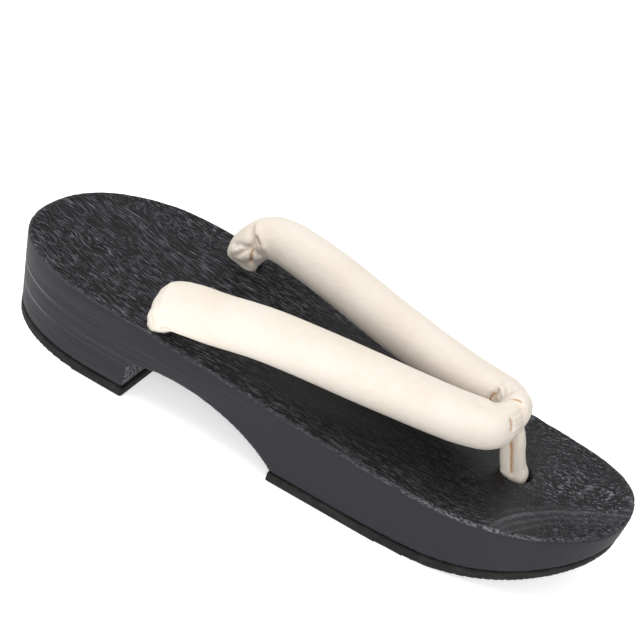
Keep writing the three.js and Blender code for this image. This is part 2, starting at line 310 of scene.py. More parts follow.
@dataclass(frozen=True)
class CharredWood:
    """Brushed, charred and black-stained paulownia, its raised grain worn to grey along the tips."""

    char: float = 0.0045
    tip: float = 0.25
    wall: float = 0.0235
    edge: float = 0.17
    bare: float = 0.20
    tint: float = 0.12
    ring_heights: tuple[float, ...] = (22.6, 14.6)

    def material(self) -> bpy.types.Material:
        """Builds the node material.

        Returns:
            A material that reads the values that WoodenBase.carve stores.
        """
        s = Shader("charred_wood")
        footbed, hollow = s.value("footbed"), s.value("hollow")
        end_grain = s.value("end_grain")
        streak = self._grain(s, (0.19, 1.8, 1.3), detail=4)
        fleck = self._grain(s, (0.5, 3.9, 2.6), detail=3)
        patch = s.noise(s.place((0.035, 0.05, 0.05)), detail=2)
        mixed = s.math("ADD", s.math("MULTIPLY", streak, 0.55), s.math("MULTIPLY", fleck, 0.45))
        raised = s.step(mixed, 0.495, 0.60)
        strength = s.math("MULTIPLY", raised, s.spread(patch, 0.2, 1.25))
        # The grain tips fade to black over the forefoot hollow: partly foot polish, partly painted shadow of
        # the straps.
        strength = s.math("MULTIPLY", strength, s.spread(hollow, 1.0, 0.14))
        top = s.blend(strength, grey(self.char, self.tint), grey(self.tip, self.tint))

        layer = s.noise(s.place((0.012, 0.02, 0.95)), detail=3, rough=0.65, twist=0.4)
        line = s.math("MULTIPLY", s.step(layer, 0.46, 0.7), s.value("lined"))
        side = s.blend(line, grey(self.wall, self.tint * 1.7), grey(self.wall * 1.7, self.tint * 0.4))
        pores = s.noise(s.place((0.9, 0.9, 1.1)), detail=3, rough=0.7)
        rough_end = s.blend(s.step(pores, 0.42, 0.62), grey(self.wall * 0.6), grey(self.bare, self.tint))
        side = s.blend(end_grain, side, rough_end)
        colour = s.blend(footbed, side, top)
        scuffs = s.step(s.noise(s.place((0.7, 1.5, 1.5)), detail=3, rough=0.7), 0.42, 0.62)
        on_ridge = s.math("MULTIPLY", s.value("ridge"), s.spread(scuffs, 0.45, 1.0))
        # Pale marks: scuffed growth ridges, and the rim line, which is partly wear and partly painted
        # highlight.
        worn = s.math("MAXIMUM", s.math("MULTIPLY", self._rim_wear_and_highlight(s), scuffs), on_ridge)
        colour = s.blend(worn, colour, grey(self.edge, self.tint * 0.7))
        colour = s.blend(self._ring_lines(s), colour, grey(self.edge, self.tint * 0.7))

        relief = s.math("MULTIPLY", strength, footbed)
        relief = s.math("ADD", relief, s.math("MULTIPLY", s.math("MULTIPLY", pores, end_grain), 0.9))
        relief = s.math("ADD", relief, s.math("MULTIPLY", line, 0.12))
        normal = s.emboss(relief, 0.4)
        sheen = s.spread(footbed, 0.56, 0.5)
        roughness = s.math("SUBTRACT", sheen, s.math("MULTIPLY", hollow, 0.14))
        return s.finish(colour, roughness, normal, Specular_IOR_Level=0.13)

    def _rim_wear_and_highlight(self, s: Shader) -> bpy.types.NodeSocket:
        """The thin pale line along the footbed's rim: partly wear from handling, partly a painted highlight
        on the rim's edge.
        """
        inside = s.math("ABSOLUTE", s.math("ADD", s.value("past_rim"), 0.5))
        line = s.math("MULTIPLY", s.step(inside, 0.85, 0.4), s.step(s.value("above_rim"), -1.3, -0.7))
        return s.math("MULTIPLY", line, s.value("rubbed_and_highlit"))

    def _ring_lines(self, s: Shader) -> bpy.types.NodeSocket:
        """The pale growth lines round the back of the heel."""
        away = [s.math("ABSOLUTE", s.math("SUBTRACT", s.value("layer_height"), z)) for z in self.ring_heights]
        lines = s.math("ADD", *[s.step(gap, 0.5, 0.15) for gap in away])
        return s.math("MULTIPLY", lines, s.value("layer_shown"))

    def _grain(self, s: Shader, scale: tuple[float, float, float], detail: float) -> bpy.types.NodeSocket:
        """Noise stretched along the grain, with scale lumps to the millimetre."""
        stretch = s.node("ShaderNodeMapping", vector_type="POINT")
        s.feed(s.vector("grain_flow"), stretch.inputs["Vector"])
        s.feed(scale, stretch.inputs["Scale"])
        return s.noise(stretch.outputs["Vector"], detail=detail, rough=0.6, twist=0.3)


@dataclass(frozen=True)
class TreadRubber:
    """Matte black moulded rubber with a faintly dusty skin."""

    dark: float = 0.011
    dusty: float = 0.024

    def material(self) -> bpy.types.Material:
        """Builds the node material."""
        s = Shader("tread_rubber")
        dust = s.noise(s.place((0.15, 0.15, 0.3)), detail=4, rough=0.65)
        speck = s.noise(s.place((2.2, 2.2, 2.2)), detail=2)
        colour = s.blend(s.step(dust, 0.4, 0.7), grey(self.dark, -0.05), grey(self.dusty, -0.04))
        normal = s.emboss(speck, 0.08)
        return s.finish(colour, s.spread(dust, 0.62, 0.82), normal, Specular_IOR_Level=0.15)


@dataclass(frozen=True)
class PlainCotton:
    """Cream cotton in a fine plain weave, with painted tan shade where it is creased."""

    name: str
    cream: tuple[float, float, float, float] = (0.775, 0.71, 0.625, 1.0)
    shade: tuple[float, float, float, float] = (0.735, 0.655, 0.56, 1.0)
    # Painted shade: the tan that darkens creases and slits.
    crease: tuple[float, float, float, float] = (0.47, 0.235, 0.085, 1.0)
    thread: float = 0.42
    roughness: float = 0.66
    sheen: float = 0.12

    def material(self) -> bpy.types.Material:
        """Builds the node material.

        Returns:
            A material that reads the weave vector and the crease value of a piece.
        """
        s = Shader(self.name)
        weave = s.vector("weave")
        warp = self._threads(s, weave, Thread.WARP)
        weft = self._threads(s, weave, Thread.WEFT)
        cloth = s.math("MULTIPLY", warp, weft)
        slub = s.noise(s.place((0.35, 0.35, 0.35)), detail=3, rough=0.6)
        soft = s.noise(s.place((0.045, 0.06, 0.06)), detail=2)
        tone = s.math("ADD", s.math("MULTIPLY", slub, 0.35), s.math("MULTIPLY", soft, 0.65))
        colour = s.blend(s.step(tone, 0.35, 0.7), self.cream, self.shade)
        colour = s.blend(s.math("MULTIPLY", cloth, 0.10), colour, self.shade)
        # Painted tan shade in the creases.
        colour = s.blend(s.step(s.value("crease"), 0.18, 1.0, 0.86), colour, self.crease)
        normal = s.emboss(cloth, 0.05, s.emboss(slub, 0.10))
        return s.finish(
            colour, self.roughness, normal,
            Sheen_Weight=self.sheen, Sheen_Roughness=0.45, Specular_IOR_Level=0.25,
        )

    def _threads(self, s: Shader, weave: bpy.types.NodeSocket, row: Thread) -> bpy.types.NodeSocket:
        """A row of round threads across one direction of the cloth, from 0 to 1."""
        made = s.node("ShaderNodeTexWave", wave_type="BANDS", bands_direction=row.value)
        s.feed(weave, made.inputs["Vector"])
        made.inputs["Scale"].default_value = math.pi / (10 * self.thread)
        made.inputs["Distortion"].default_value = 0.4
        return made.outputs["Fac"]


# ------------------------------------------------------------------------------------------ wooden base
@dataclass(frozen=True)
class PlanOutline:
    """The base seen from above: straight sides between two rounded ends, each a superellipse."""

    half_length: float = 125.0
    half_width: float = 43.6
    toe_reach: float = 89.0
    toe_power: float = 2.32
    heel_reach: float = 57.5
    heel_power: float = 2.23

    def share(self, x: np.ndarray, y: np.ndarray) -> np.ndarray:
        """How far out each point lies, from 0 on the middle line to 1 at the rim."""
        aside = np.abs(y) / self.half_width
        toe = np.clip(x - (self.half_length - self.toe_reach), 0, None) / self.toe_reach
        heel = np.clip(-x - (self.half_length - self.heel_reach), 0, None) / self.heel_reach
        front = (toe**self.toe_power + aside**self.toe_power) ** (1 / self.toe_power)
        back = (heel**self.heel_power + aside**self.heel_power) ** (1 / self.heel_power)
        return np.where(x > 0, front, back)


@dataclass(frozen=True)
class GrowthRidge:
    """A hard growth line that stands out of the footbed, as an arc in plan, with fainter ones beside it.

    The arc starts at the right rim, and runs in a shallow bow to the toe. A layer is how far a line lies
    from the arc, and how strong it is.
    """

    start: tuple[float, float] = (84.0, -37.0)
    bow: tuple[float, float] = (92.0, -13.0)
    end: tuple[float, float] = (125.5, -5.5)
    steps: int = 40
    layers: tuple[tuple[float, float], ...] = ((0.0, 1.0), (-2.6, 0.5), (-5.4, 0.35), (2.8, 0.25))

    def line(self) -> np.ndarray:
        """Points along the ridge, in millimetres, as a quadratic bow."""
        t = np.linspace(0, 1, self.steps)[:, None]
        a, b, c = (np.array(p) for p in (self.start, self.bow, self.end))
        return (1 - t) ** 2 * a + 2 * t * (1 - t) * b + t**2 * c

    def offset(self, x: np.ndarray, y: np.ndarray) -> np.ndarray:
        """Distance of each point from the ridge, negative on the rim's side of it."""
        line = self.line()
        nearest = np.full(len(x), np.inf)
        signed = np.full(len(x), np.inf)
        for (ax, ay), (bx, by) in zip(line[:-1], line[1:]):
            dx, dy = bx - ax, by - ay
            length = math.hypot(dx, dy)
            along = np.clip(((x - ax) * dx + (y - ay) * dy) / length**2, 0, 1)
            gap = np.hypot(x - ax - along * dx, y - ay - along * dy)
            left = np.sign(dx * (y - ay) - dy * (x - ax))
            closer = gap < nearest
            signed = np.where(closer, gap * left, signed)
            nearest = np.where(closer, gap, nearest)
        return signed


@dataclass
class WoodenBase:
    """The one-piece wooden base, with its grain raised by brushing and its rim worn."""

    finish: CharredWood = field(default_factory=CharredWood)
    outline: PlanOutline = field(default_factory=PlanOutline)
    ridge: GrowthRidge = field(default_factory=GrowthRidge)
    voxel: float = 0.95
    ridge_height: float = 0.55
    ridge_width: float = 0.9
    lens_depth: float = 0.45
    chip_depth: float = 0.2
    grain_depth: float = 0.13
    toe_grain_depth: float = 0.20
    line_depth: float = 0.07
    end_depth: float = 0.16
    rim_slots: int = 50

    def build(self) -> bpy.types.Object:
        """Makes the base.

        Returns:
            The finished piece, standing for the CAD node wooden_base.
        """
        piece = even_skin("wooden_base", "charred_base", self.voxel)
        self.carve(piece.data)
        keep(piece, self.finish.material(), "charred_wood", "wooden_base")
        return piece

    def carve(self, mesh: bpy.types.Mesh) -> None:
        """Raises the grain, presses the growth ridge and chips the rim, and stores the finish's values."""
        points, normals = read_points(mesh)
        x, y, z = points.T
        share = self.outline.share(x, y)
        footbed = smoothstep(0.55, 0.9, normals[:, 2]) * smoothstep(18, 21, z)
        ends = smoothstep(0.62, 0.9, np.abs(normals[:, 0])) * smoothstep(0.45, 0.25, np.abs(normals[:, 2]))
        ends *= smoothstep(-75, -65, x) * smoothstep(40, 30, x)
        toe = smoothstep(60, 100, x)

        flow = self.grain_flow(points)
        raised = self.grain_depth * grain_noise(flow, (10, 2.4, 2.4))
        raised += 0.05 * grain_noise(flow, (4.2, 1.7, 2), 7)
        raised += toe * self.toe_grain_depth * grain_noise(flow, (9, 2.6, 2.6), 3)
        hollow = self.hollow(x, y)
        height = raised * (1 - 0.55 * hollow)

        beside = self.ridge.offset(x, y)
        waver = 0.5 * grain_noise(points, (9, 9, 9), 11)
        on_ridge = sum(
            strength * np.exp(-(((beside + waver - shift) / self.ridge_width) ** 2))
            for shift, strength in self.ridge.layers
        ) * smoothstep(80, 88, x)
        in_lens = smoothstep(0.5, -3.5, beside + waver) * smoothstep(82, 92, x)
        height += self.ridge_height * on_ridge - self.lens_depth * in_lens * smoothstep(1.0, 0.9, share)
        height *= footbed

        above_rim = z - self.rim_height(points, share)
        near_rim = np.exp(-(((share - 1) / 0.014) ** 2)) * smoothstep(-3.5, -0.6, above_rim)
        chips = np.clip(grain_noise(points, (4, 2.2, 2.2), 5) - 0.12, 0, 1)
        height -= self.chip_depth * near_rim * (0.35 + 2.2 * chips)
        wall = (1 - footbed) * (1 - ends)
        lined = wall * smoothstep(20, -60, x)
        height += self.line_depth * lined * grain_noise(points, (30, 30, 1.6), 2)
        height += self.end_depth * ends * grain_noise(points, (2.2, 2.2, 2.2), 9)
        write_points(mesh, points + normals * height[:, None])

        write_values(mesh, "footbed", footbed)
        write_values(mesh, "end_grain", ends)
        write_values(mesh, "lined", lined)
        # Strength of the pale rim line, strongest towards the toe: partly wear, partly painted highlight.
        write_values(mesh, "rubbed_and_highlit", 0.22 + 0.7 * np.exp(-(((x - 80) / 30) ** 2)))
        write_values(mesh, "past_rim", (share - 1) * self.outline.half_width)
        write_values(mesh, "above_rim", above_rim)
        write_values(mesh, "ridge", 0.6 * on_ridge * footbed)
        # Darkening over the hollow, partly foot polish and partly painted strap shadow, and darker inside the
        # lens at the toe.
        write_values(mesh, "hollow", np.clip(hollow + 0.8 * in_lens * (1 - smoothstep(94, 102, x)), 0, 1))
        write_values(mesh, "layer_height", z + 0.7 * grain_noise(points, (30, 30, 30), 6) + 0.03 * (x + 125))
        write_values(mesh, "layer_shown", wall * smoothstep(-84, -112, x))
        write_vectors(mesh, "grain_flow", flow)

    def rim_height(self, points: np.ndarray, share: np.ndarray) -> np.ndarray:
        """Height of the footbed's rim beside each point, read off the mesh's own rim."""
        rim = (share > 0.985) & (share < 1.02)
        bins = np.linspace(-self.outline.half_length, self.outline.half_length, self.rim_slots + 1)
        slot = np.clip(np.digitize(points[:, 0], bins) - 1, 0, self.rim_slots - 1)
        tops = np.array([points[rim & (slot == i), 2].max(initial=0) for i in range(self.rim_slots)])
        middles = (bins[:-1] + bins[1:]) / 2
        return np.interp(points[:, 0], middles, tops)

    def grain_flow(self, points: np.ndarray) -> np.ndarray:
        """Positions bent by the grain, so that streaks follow it, with swirls at the toe."""
        x, y, z = points.T
        toe = smoothstep(55, 105, x)
        swirl = grain_noise(points, (34, 22, 40), 4) * (1.5 + 7 * toe)
        ripple = grain_noise(points, (11, 9, 20), 8) * (0.8 + 1.6 * toe + 0.9 * smoothstep(-60, -100, x))
        lean = 0.10 * x * smoothstep(-60, -120, x)
        shorter = 0.8 * np.clip(x - 60, 0, None)
        straight = smoothstep(-4, 5, y) * smoothstep(32, 22, y) * smoothstep(-30, -60, x)
        return np.stack([x * (1 - 0.6 * straight) + shorter, y + swirl + ripple + lean, z], axis=1)

    def hollow(self, x: np.ndarray, y: np.ndarray) -> np.ndarray:
        """The hollow under the ball of the foot, darker in colour: partly polished black by feet, partly
        painted shadow of the straps above it.
        """
        front = smoothstep(-38, 5, x) * smoothstep(104, 80, x)
        return front * smoothstep(44, 20, np.abs(y + 8))


@dataclass
class Treads:
    """The two rubber treads, with softened edges and walls that ripple a little."""

    finish: TreadRubber = field(default_factory=TreadRubber)
    voxel: float = 0.8
    wobble: float = 0.10

    def build(self) -> list[bpy.types.Object]:
        """Makes both treads, standing for the CAD nodes of the same names."""
        finish = self.finish.material()
        return [self.tread(node, finish) for node in ("heel_tread", "forefoot_tread")]

    def tread(self, node: str, finish: bpy.types.Material) -> bpy.types.Object:
        """One tread, its edges eased by an even net laid on its true form."""
        piece = even_skin(node, node.replace("tread", "rubber"), self.voxel)
        points, normals = read_points(piece.data)
        wall = smoothstep(0.6, 0.3, np.abs(normals[:, 2]))
        rough = self.wobble * grain_noise(points, (8, 8, 1.3)) - 0.05
        write_points(piece.data, points + normals * (wall * rough)[:, None])
        keep(piece, finish, "tread_rubber", node)
        return piece


# ------------------------------------------------------------------------------------------ padded cloth
@dataclass(frozen=True)
class Section:
    """One cross-section of a stuffed tube: its middle, half its width and height, and how far it leans.

    The lean is in degrees, and turns the outer edge down.
    """

    x: float
    y: float
    z: float
    wide: float
    tall: float
    lean: float = 0.0


@dataclass(frozen=True)
class Crease:
    """A soft trough or ridge pressed into cloth along a short line of points.

    A positive depth presses in and a negative one stands out. The last number is how much painted tan shade
    darkens the line, from 0 to 1.
    """

    points: tuple[tuple[float, float, float], ...]
    width: float
    depth: float
    crease_shade: float = 0.0

    def laid_on(self, surface: kdtree.KDTree) -> "Crease":
        """The same crease drawn close to a surface, in steps of about a millimetre."""
        steps = [
            start + (end - start) * share
            for start, end in zip(map(Vector, self.points[:-1]), map(Vector, self.points[1:]))
            for share in np.arange(0, 1, 1 / max(2, round((end - start).length)))
        ]
        line = [surface.find(step)[0] for step in (*steps, Vector(self.points[-1]))]
        eased = [(a + 2 * b + c) / 4 for a, b, c in zip(line[:-2], line[1:-1], line[2:])]
        return replace(self, points=tuple(tuple(p) for p in (line[0], *eased, line[-1])))

    def weight(self, points: np.ndarray) -> np.ndarray:
        """How strongly the crease takes hold of each point, from 0 to 1, fading out at its two ends."""
        line = np.array(self.points)
        lengths = np.linalg.norm(np.diff(line, axis=0), axis=1)
        total = lengths.sum()
        best = np.full(len(points), np.inf)
        where = np.zeros(len(points))
        passed = 0.0
        for start, end, length in zip(line[:-1], line[1:], lengths):
            run = end - start
            along = np.clip((points - start) @ run / max(length, 1e-6) ** 2, 0, 1)
            gap = np.linalg.norm(points - start - along[:, None] * run, axis=1)
            closer = gap < best
            best = np.where(closer, gap, best)
            where = np.where(closer, (passed + along * length) / total, where)
            passed += length
        ends = smoothstep(0, 0.16, where) * smoothstep(1, 0.84, where) * 0.85 + 0.15
        return np.exp(-((best / self.width) ** 2)) * ends


class StuffedTube:
    """A tube of cloth swept through a row of sections, which knows its own length and girth."""

    def __init__(
        self, sections: Sequence[Section], squareness: float = 2.0, steps: int = 6, sides: int = 28
    ) -> None:
        """Smooths the sections into a fine row of rings.

        Args:
            sections: the sections in order.
            squareness: 2 for oval sections, and more for flatter sides.
            steps: rings for each stretch between two sections.
            sides: corners of each ring.
        """
        self.squareness = squareness
        self.steps = steps
        rows = np.array([[s.x, s.y, s.z, s.wide, s.tall, math.radians(s.lean)] for s in sections])
        self.rows = self._smooth(rows, steps)
        self.sides = sides
        self.middle = self.rows[:, :3]
        self.tangents = self._unit(np.gradient(self.middle, axis=0))
        self.across, self.upward = self._carry()
        steps_long = np.linalg.norm(np.diff(self.middle, axis=0), axis=1)
        self.reach = np.concatenate([[0], np.cumsum(steps_long)])

    @staticmethod
    def _unit(vectors: np.ndarray) -> np.ndarray:
        """The vectors at length 1."""
        return vectors / np.linalg.norm(vectors, axis=-1, keepdims=True)

    @staticmethod
    def _smooth(rows: np.ndarray, steps: int) -> np.ndarray:
        """The rows with steps rows on a smooth curve between each two."""
        padded = np.vstack([2 * rows[0] - rows[1], rows, 2 * rows[-1] - rows[-2]])
        fine = []
        for a, b, c, d in zip(padded[:-3], padded[1:-2], padded[2:-1], padded[3:]):
            for t in np.arange(steps) / steps:
                bend = (2 * a - 5 * b + 4 * c - d) * t**2 + (3 * b - a - 3 * c + d) * t**3
                fine.append(0.5 * (2 * b + (c - a) * t + bend))
        fine.append(rows[-1])
        return np.array(fine)

    def _carry(self) -> tuple[np.ndarray, np.ndarray]:
        """Each ring's sideways and upward direction, carried both ways from the most level ring."""
        level = int(np.argmin(np.abs(self.tangents[:, 2])))
        sideways = np.zeros_like(self.tangents)
        sideways[level] = self._unit(np.cross(self.tangents[level], (0.0, 0.0, 1.0)))
        onward = [(i, i - 1) for i in range(level + 1, len(sideways))]
        back = [(i, i + 1) for i in range(level - 1, -1, -1)]
        for ring, last in onward + back:
            tangent = self.tangents[ring]
            sideways[ring] = self._unit(sideways[last] - tangent * (sideways[last] @ tangent))
        upward = np.cross(sideways, self.tangents)
        cos, sin = np.cos(self.rows[:, 5:]), np.sin(self.rows[:, 5:])
        return sideways * cos - upward * sin, upward * cos + sideways * sin

    def build(self, name: str) -> bpy.types.Object:
        """The tube as a closed mesh object."""
        form = bmesh.new()
        before: list[bmesh.types.BMEdge] = []
        last = len(self.rows) - 1
        for i, row in enumerate(self.rows):
            axes = (self.across[i] * row[3], self.upward[i] * row[4], self.tangents[i], self.middle[i])
            place = Matrix([Vector(axis * MM).to_4d() for axis in axes]).transposed()
            place.row[3][:] = (0, 0, 0, 1)
            made = bmesh.ops.create_circle(
                form, cap_ends=i in (0, last), segments=self.sides, radius=1, matrix=place
            )
            ring = set(made["verts"])
            self._square_off(ring, place)
            edges = [e for e in {e for v in ring for e in v.link_edges} if set(e.verts) <= ring]
            if before:
                bmesh.ops.bridge_loops(form, edges=before + edges)
            before = edges
        bmesh.ops.recalc_face_normals(form, faces=form.faces)
        return object_from(form, name)

    def _square_off(self, ring: Iterable[bmesh.types.BMVert], place: Matrix) -> None:
        """Pushes a round ring's corners out to a squarer oval."""
        back = place.inverted()
        for corner in ring:
            local = back @ corner.co
            power = self.squareness
            size = (abs(local.x) ** power + abs(local.y) ** power) ** (1 / power)
            corner.co = place @ Vector((local.x / size, local.y / size, 0))

    def outside(self, station: float, turn: float) -> tuple[float, float, float]:
        """A place on the tube's outside.

        Args:
            station: the section it lies at, counted from 0 at the first, or between two.
            turn: how far round it lies, in degrees from the top towards the outer side.
        """
        ring = round(station * self.steps)
        wide, tall = self.rows[ring, 3:5]
        angle = math.radians(turn)
        aside = self.across[ring] * wide * math.sin(angle)
        above = self.upward[ring] * tall * math.cos(angle)
        return tuple(self.middle[ring] + aside + above)

    def cloth_coordinates(self, points: np.ndarray) -> np.ndarray:
        """Where each point lies on the flat cloth: along the tube, and round it, in millimetres.

        Args:
            points: positions in millimetres.

        Returns:
            One row per point: reach along the tube, distance round it from its top, and 0.
        """
        nearest = np.zeros(len(points), int)
        best = np.full(len(points), np.inf)
        for i, centre in enumerate(self.middle):
            gap = ((points - centre) ** 2).sum(axis=1)
            closer = gap < best
            best = np.where(closer, gap, best)
            nearest = np.where(closer, i, nearest)
        arm = points - self.middle[nearest]
        along = self.reach[nearest] + (arm * self.tangents[nearest]).sum(axis=1)
        sideways = (arm * self.across[nearest]).sum(axis=1)
        upward = (arm * self.upward[nearest]).sum(axis=1)
        girth = self.rows[nearest, 3:5].mean(axis=1)
        return np.stack([along, np.arctan2(sideways, upward) * girth, np.zeros(len(points))], axis=1)


def fill_out(piece: bpy.types.Object, pressure: float, limit: float, frames: int = 20) -> None:
    """Puffs a closed skin of cloth by simulation, as stuffing does.

    Args:
        piece: the skin.
        pressure: push of the stuffing.
        limit: the furthest that a point may move, in millimetres.
        frames: how long it may settle.
    """
    before, _ = read_points(piece.data)
    cloth = piece.modifiers.new("Stuffing", "CLOTH")
    cloth.settings.quality = 6
    cloth.settings.mass = 0.15
    cloth.settings.tension_stiffness = 25
    cloth.settings.compression_stiffness = 25
    cloth.settings.bending_stiffness = 1.2
    cloth.settings.use_pressure = True
    cloth.settings.uniform_pressure_force = pressure
    cloth.settings.effector_weights.gravity = 0
    cloth.collision_settings.use_collision = False
    scene = bpy.context.scene
    for step in range(1, frames + 1):
        scene.frame_set(step)
    settle(piece)
    scene.frame_set(1)
    after, _ = read_points(piece.data)
    move = after - before
    length = np.linalg.norm(move, axis=1, keepdims=True)
    write_points(piece.data, before + move * np.minimum(1, limit / np.maximum(length, 1e-6)))


def press_creases(mesh: bpy.types.Mesh, creases: Iterable[Crease]) -> np.ndarray:
    """Presses creases into a mesh.

    Args:
        mesh: the cloth.
        creases: the creases, each in the sandal's own millimetres.

    Returns:
        How much painted tan shade the creases give each vertex, from 0 to 1.
    """
    points, normals = read_points(mesh)
    tree = kdtree.KDTree(len(points))
    for i, point in enumerate(points):
        tree.insert(point, i)
    tree.balance()
    depth = np.zeros(len(points))
    crease_shade = np.zeros(len(points))
    for crease in creases:
        weight = crease.laid_on(tree).weight(points)
        depth += crease.depth * weight
        crease_shade = np.maximum(crease_shade, crease.crease_shade * weight**1.6)
    write_points(mesh, points - normals * depth[:, None])
    return crease_shade


@dataclass
class PaddedStrap:
    """The strap: two stuffed limbs that meet in a pinched fold at the toe and turn down into the base."""

    finish: PlainCotton = field(default_factory=lambda: PlainCotton("strap_cotton"))
    voxel: float = 1.35
    slack: float = 0.35
    fold: tuple[Section, ...] = (
        Section(72.4, 5.0, 45.4, 6.0, 8.2),
        Section(73.6, 0, 46.2, 4.8, 7.2),
        Section(73.0, -4.6, 45.4, 5.0, 7.2),
    )
    right: tuple[Section, ...] = (
        Section(69.4, -9.0, 42.8, 7.4, 9.1),
        Section(61, -11.3, 41.6, 8.6, 9.6),
        Section(46, -14.4, 41.4, 9.0, 9.8),
        Section(18, -20.8, 43.0, 9.3, 9.9),
        Section(-10, -28, 44.9, 9.6, 9.6, 4),
        Section(-30, -33.0, 43.9, 9.8, 9.3, 12),
        Section(-39, -34.8, 43.4, 9.9, 8.9, 18),
        Section(-45.2, -35.4, 42.0, 9.9, 7.6, 23),
        Section(-47.6, -35.0, 38.9, 9.5, 6.4, 20),
        Section(-48.2, -33.8, 36.2, 8.6, 6.2, 8),
        Section(-48.4, -31.8, 32.9, 5.8, 5.4),
        Section(-48.5, -31, 29.0, 3.8, 3.8),
        Section(-48.5, -31, 22.0, 3.8, 3.8),
    )
    left: tuple[Section, ...] = (
        Section(69.0, 9.0, 43.6, 7.4, 8.9),
        Section(61, 11.3, 42.2, 8.6, 9.3),
        Section(46, 14.4, 41.8, 9.3, 9.6),
        Section(18, 20.8, 43.5, 9.8, 9.8),
        Section(-10, 28, 45.7, 10.0, 10.0),
        Section(-30, 32.8, 46.4, 10.0, 9.6),
        Section(-40, 34.4, 46.0, 9.9, 9.0),
        Section(-46.3, 34.6, 44.4, 9.8, 8.0),
        Section(-49.8, 33.6, 41.0, 9.4, 7.6),
        Section(-50.6, 32.6, 37.0, 9.0, 9.0),
        Section(-50.0, 31.9, 33.8, 8.4, 9.2),
        Section(-49.0, 31.2, 31.4, 5.0, 5.4),
        Section(-48.5, 31, 29.0, 3.8, 3.8),
        Section(-48.5, 31, 22.0, 3.8, 3.8),
    )

    def build(self) -> bpy.types.Object:
        """Makes the strap.

        Returns:
            The finished piece, standing for the CAD node padded_strap.
        """
        slim = [self._slimmed(s) for s in (*reversed(self.right), *reversed(self.fold), *self.left)]
        tube = StuffedTube(slim, squareness=2.25)
        piece = tube.build("cotton_strap")
        remesh(piece, self.voxel)
        fill_out(piece, pressure=4, limit=0.8)
        subdivide(piece, 1)
        self.gather(piece.data, tube)
        crease_shade = press_creases(piece.data, self.creases(tube))
        # The painted crease shade, for the material.
        write_values(piece.data, "crease", crease_shade)
        points, _ = read_points(piece.data)
        write_vectors(piece.data, "weave", tube.cloth_coordinates(points))
        keep(piece, self.finish.material(), "strap_fabric", "padded_strap")
        return piece

    def _slimmed(self, section: Section) -> Section:
        """A section a little smaller, which leaves room for the stuffing to push out."""
        slack = self.slack
        return replace(section, wide=section.wide - slack, tall=section.tall - slack)

    def gather(self, mesh: bpy.types.Mesh, tube: StuffedTube) -> None:
        """Draws the cloth into soft pleats beside the fold and at both rear ends."""
        points, normals = read_points(mesh)
        cloth = tube.cloth_coordinates(points)
        x, y, z = points.T
        beside_fold = np.exp(-(((np.hypot(x - 73, y) - 6.5) / 4.5) ** 2)) * smoothstep(58, 64, x)
        at_elbow = smoothstep(-42, -52, x) * smoothstep(47, 40, z)
        pleats = np.sin(cloth[:, 1] * 2.3 + 2.2 * grain_noise(points, (6, 6, 6), 3))
        folds = np.sin(cloth[:, 1] * 1.25 + 2.6 * grain_noise(points, (7, 7, 7), 13))
        lumps = grain_noise(points, (16, 12, 12), 21)
        height = 0.20 * beside_fold * pleats + 0.22 * at_elbow * folds + 0.16 * lumps
        write_points(mesh, points + normals * height[:, None])

    def creases(self, tube: StuffedTube) -> list[Crease]:
        """The creases that show, each through places given as a station and a turn.

        A station counts sections from the middle of the fold, above 0 on the left limb and below it on the
        right. A turn is in degrees from the strap's top, above 0 to its outer side and below it to its inner.
        """
        fold = len(self.right) + len(self.fold) // 2

        def crease(*places: tuple[float, float], width: float, depth: float, crease_shade: float = 0.0) -> Crease:
            return Crease(tuple(tube.outside(fold + at, turn) for at, turn in places), width, depth, crease_shade)

        # The last number of each crease paints tan shade into its trough; the first crease paints the shadow
        # inside the strap's opening.
        gather = (10, -95)
        at_opening = [
            crease((3, -90), (2, -90), width=0.9, depth=0.8, crease_shade=0.8),
            crease((2.5, -90), (2.2, -50), width=0.8, depth=1.2, crease_shade=1.0),
            crease((2, -90), (1.6, -40), width=0.8, depth=0.9, crease_shade=0.6),
            crease((-1.3, 50), (-1.3, 75), (-1.5, 100), width=0.9, depth=0.9, crease_shade=0.9),
            crease((-3, 10), (-2, 20), width=1.6, depth=0.4),
        ]
        far_elbow = [
            crease((9, 0), (9, -50), (8, -100), width=1.4, depth=-1.2),
            crease((9.5, -20), (9.5, -60), gather, width=1.2, depth=1.6, crease_shade=0.5),
            crease((9, -60), (8.5, -90), width=0.9, depth=1.2, crease_shade=0.9),
            crease(gather, (11, -100), (13, -110), width=0.9, depth=1.5, crease_shade=1.0),
            crease((11, -30), (10.5, -60), gather, width=1.1, depth=1.2, crease_shade=0.4),
            crease((12, -50), (11, -75), gather, width=1.0, depth=1.1, crease_shade=0.5),
            crease((11.5, -40), (11, -60), width=1.1, depth=-0.8),
            crease(gather, (10, -130), width=1.0, depth=0.8, crease_shade=0.3),
        ]
        near_elbow = [
            crease((-9, -40), (-9, 0), (-9, 50), width=1.6, depth=-0.9),
            crease((-8, 110), (-9, 105), (-10, 90), width=1.0, depth=1.2, crease_shade=0.5),
            crease((-10, 20), (-10, 60), width=0.9, depth=0.7, crease_shade=0.4),
            crease((-11, 50), (-11, 90), width=1.4, depth=-0.8),
        ]
        return at_opening + far_elbow + near_elbow


